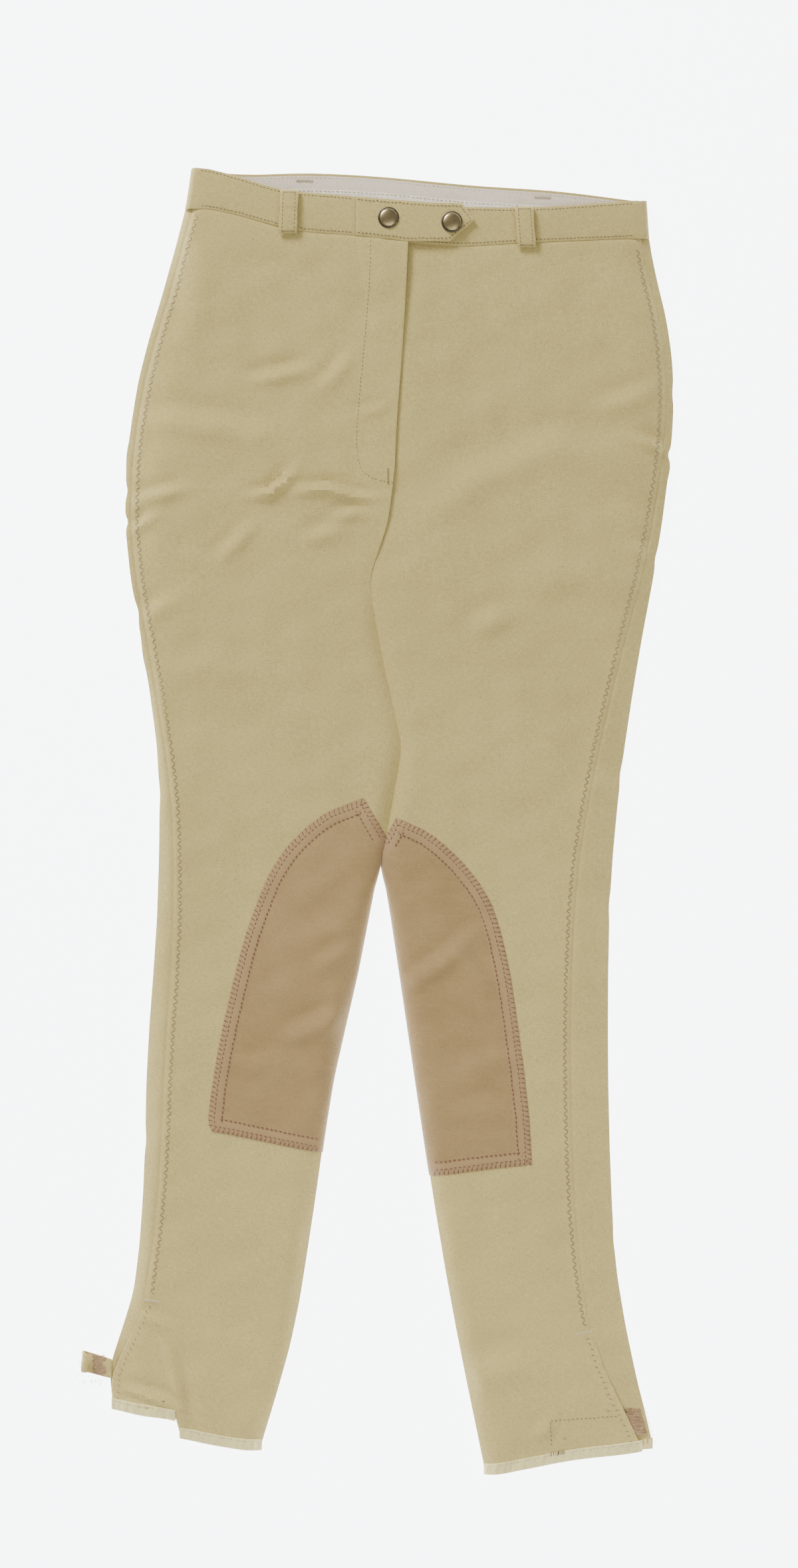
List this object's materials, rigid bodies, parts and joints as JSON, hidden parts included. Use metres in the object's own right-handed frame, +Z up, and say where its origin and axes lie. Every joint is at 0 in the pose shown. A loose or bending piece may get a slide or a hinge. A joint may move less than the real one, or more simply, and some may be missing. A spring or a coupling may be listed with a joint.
{
  "type": "riding breeches",
  "caption": "Flat-laid full-length riding breeches with a snap tab waistband, zip fly, belt loops, suede knee patches and slit ankles with hook-and-loop flaps.",
  "frame": {"origin": "under the middle of the whole garment, on the surface that it lies on", "axes": "+X across the body towards the wearer's left, +Y towards the waist, +Z up through the front of the garment"},
  "size_m": [0.425, 0.9332, 0.0188],
  "materials": {
    "cloth": "khaki stretch twill, matt",
    "suede": "tan synthetic suede, brushed and matt",
    "binding": "cream elastic satin binding, slight sheen",
    "lining": "plain woven tape, matt",
    "hook": "brown hook-and-loop pile",
    "tape": "woven zip tape, matt",
    "brass": "antique brass, satin"
  },
  "bodies": {
    "seat": {"front_thigh_right": "cloth", "back_thigh_right": "cloth", "side_seam_upper_right": "cloth", "inseam_upper_right": "cloth", "waistband_front_right": "cloth", "belt_loop_front_right": "cloth", "belt_loop_back_right": "cloth", "knee_patch_upper_right": "suede", "zip_tape_right": "tape", "zip_teeth_right": "brass", "zip_top_stop_right": "brass", "front_thigh_left": "cloth", "back_thigh_left": "cloth", "side_seam_upper_left": "cloth", "inseam_upper_left": "cloth", "waistband_front_left": "cloth", "belt_loop_front_left": "cloth", "belt_loop_back_left": "cloth", "knee_patch_upper_left": "suede", "zip_tape_left": "tape", "zip_teeth_left": "brass", "zip_top_stop_left": "brass", "waistband_back": "cloth", "fly_shield": "cloth", "waistband_lining": "lining", "snap_stud_inner": "brass", "snap_stud_outer": "brass", "zip_bottom_stop": "brass"},
    "waist_tab": {"waist_tab": "cloth", "snap_cap_inner": "brass", "snap_cap_outer": "brass", "snap_socket_inner": "brass", "snap_socket_outer": "brass"},
    "fly_flap": {"fly_flap": "cloth"},
    "zip_slider": {"zip_slider": "brass", "zip_slider_base": "brass", "zip_pull": "brass"},
    "right_shin": {"front_shin_right": "cloth", "back_shin_right": "cloth", "side_seam_lower_right": "cloth", "inseam_lower_right": "cloth", "knee_patch_lower_right": "suede", "hem_binding_front_right": "binding", "hem_binding_back_right": "binding"},
    "left_shin": {"front_shin_left": "cloth", "back_shin_left": "cloth", "side_seam_lower_left": "cloth", "inseam_lower_left": "cloth", "knee_patch_lower_left": "suede", "hem_binding_front_left": "binding", "hem_binding_back_left": "binding", "hook_pad_left": "hook"},
    "right_ankle_flap": {"ankle_flap_right": "cloth", "hem_binding_flap_right": "binding", "loop_pad_right": "hook"},
    "left_ankle_flap": {"ankle_flap_left": "cloth", "hem_binding_flap_left": "binding", "loop_pad_left": "hook"},
    "right_ankle_tab": {"ankle_tab_right": "cloth", "hook_pad_right": "hook"}
  },
  "joints": [
    {"name": "waist_tab_lift", "type": "hinge", "parent": "seat", "child": "waist_tab", "pos_m": [-0.01475, 0.4295, 0.01595], "axis": [0, -1, 0], "range_deg": [0, 150]},
    {"name": "fly_flap_lift", "type": "hinge", "parent": "seat", "child": "fly_flap", "pos_m": [0.01036, 0.25759, 0.01195], "axis": [0.1565, -0.9874, -0.0227], "range_deg": [0, 110]},
    {"name": "zip_slide", "type": "slide", "parent": "seat", "child": "zip_slider", "axis": [0, -1, 0], "range_m": [0, 0.14]},
    {"name": "right_leg_fold", "type": "hinge", "parent": "seat", "child": "right_shin", "pos_m": [-0.08475, -0.1085, 0.01085], "axis": [-1, 0, 0], "range_deg": [0, 150]},
    {"name": "left_leg_fold", "type": "hinge", "parent": "seat", "child": "left_shin", "pos_m": [0.08025, -0.1085, 0.01085], "axis": [-1, 0, 0], "range_deg": [0, 150]},
    {"name": "right_ankle_flap_lift", "type": "hinge", "parent": "right_shin", "child": "right_ankle_flap", "pos_m": [-0.15325, -0.384, 0.00965], "axis": [-0.2398, 0.9708, 0], "range_deg": [0, 150]},
    {"name": "left_ankle_flap_lift", "type": "hinge", "parent": "left_shin", "child": "left_ankle_flap", "pos_m": [0.13825, -0.4075, 0.00965], "axis": [-0.3096, -0.9509, 0], "range_deg": [0, 150]},
    {"name": "right_ankle_tab_lift", "type": "hinge", "parent": "right_shin", "child": "right_ankle_tab", "pos_m": [-0.1925, -0.3935, 0.00135], "axis": [0, 1, 0], "range_deg": [0, 80]}
  ]
}
